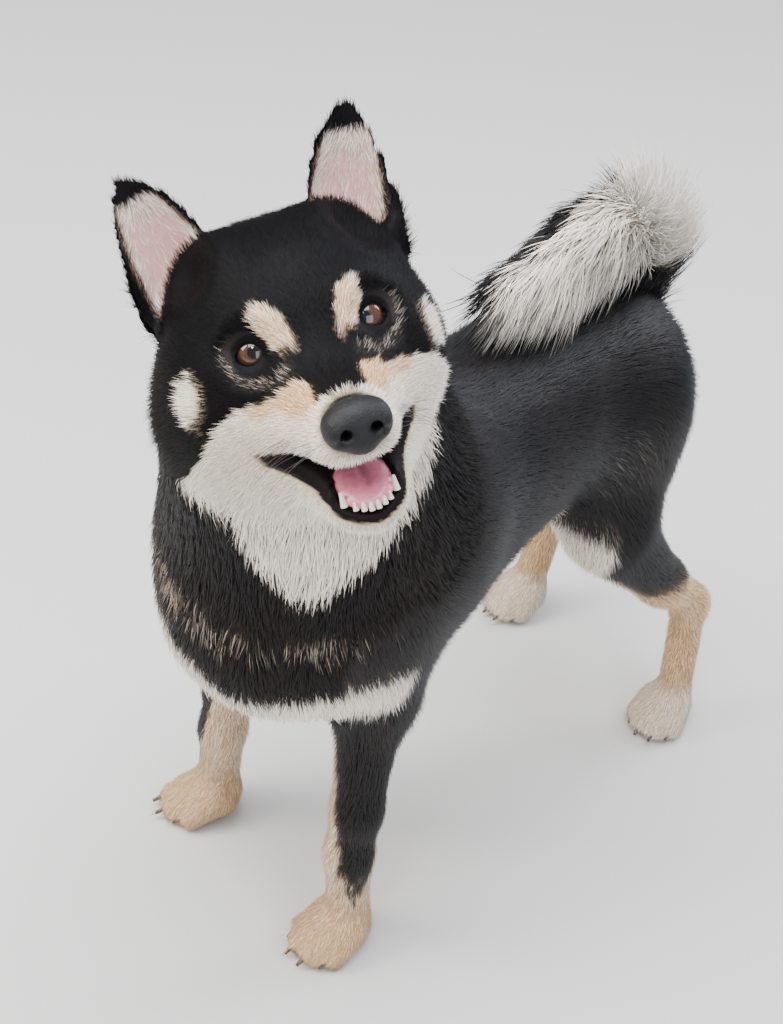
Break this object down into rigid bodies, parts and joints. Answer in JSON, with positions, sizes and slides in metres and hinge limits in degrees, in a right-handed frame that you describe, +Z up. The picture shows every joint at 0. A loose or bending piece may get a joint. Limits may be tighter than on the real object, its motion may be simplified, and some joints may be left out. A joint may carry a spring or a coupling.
{
  "type": "shiba inu",
  "caption": "Life-size dog figure, black and tan, standing on four feet with its head lifted and turned to its left, mouth open and tail curled over its back.",
  "frame": {"origin": "on the floor, under the middle of the whole dog's bounding box", "axes": "+X to the dog's left, -Y the way its body faces, +Z up"},
  "size_m": [0.2388, 0.5672, 0.5971],
  "materials": {
    "black_coat": "dense black double coat with tan and cream markings",
    "pale_coat": "short cream and tan fur",
    "nose_leather": "moist pebbled nose skin",
    "eye": "wet brown eye",
    "tongue": "moist pink tongue"
  },
  "bodies": {
    "root": {"ear_left": "black_coat", "ear_right": "black_coat", "eye_left": "eye", "eye_right": "eye", "foreleg_left": "black_coat", "foreleg_right": "black_coat", "head": "black_coat", "hindleg_left": "black_coat", "hindleg_right": "black_coat", "lower_jaw": "pale_coat", "neck": "black_coat", "nose": "nose_leather", "paw_front_left": "pale_coat", "paw_front_right": "pale_coat", "paw_hind_left": "pale_coat", "paw_hind_right": "pale_coat", "tail": "black_coat", "tongue": "tongue", "torso": "black_coat"}
  },
  "joints": []
}
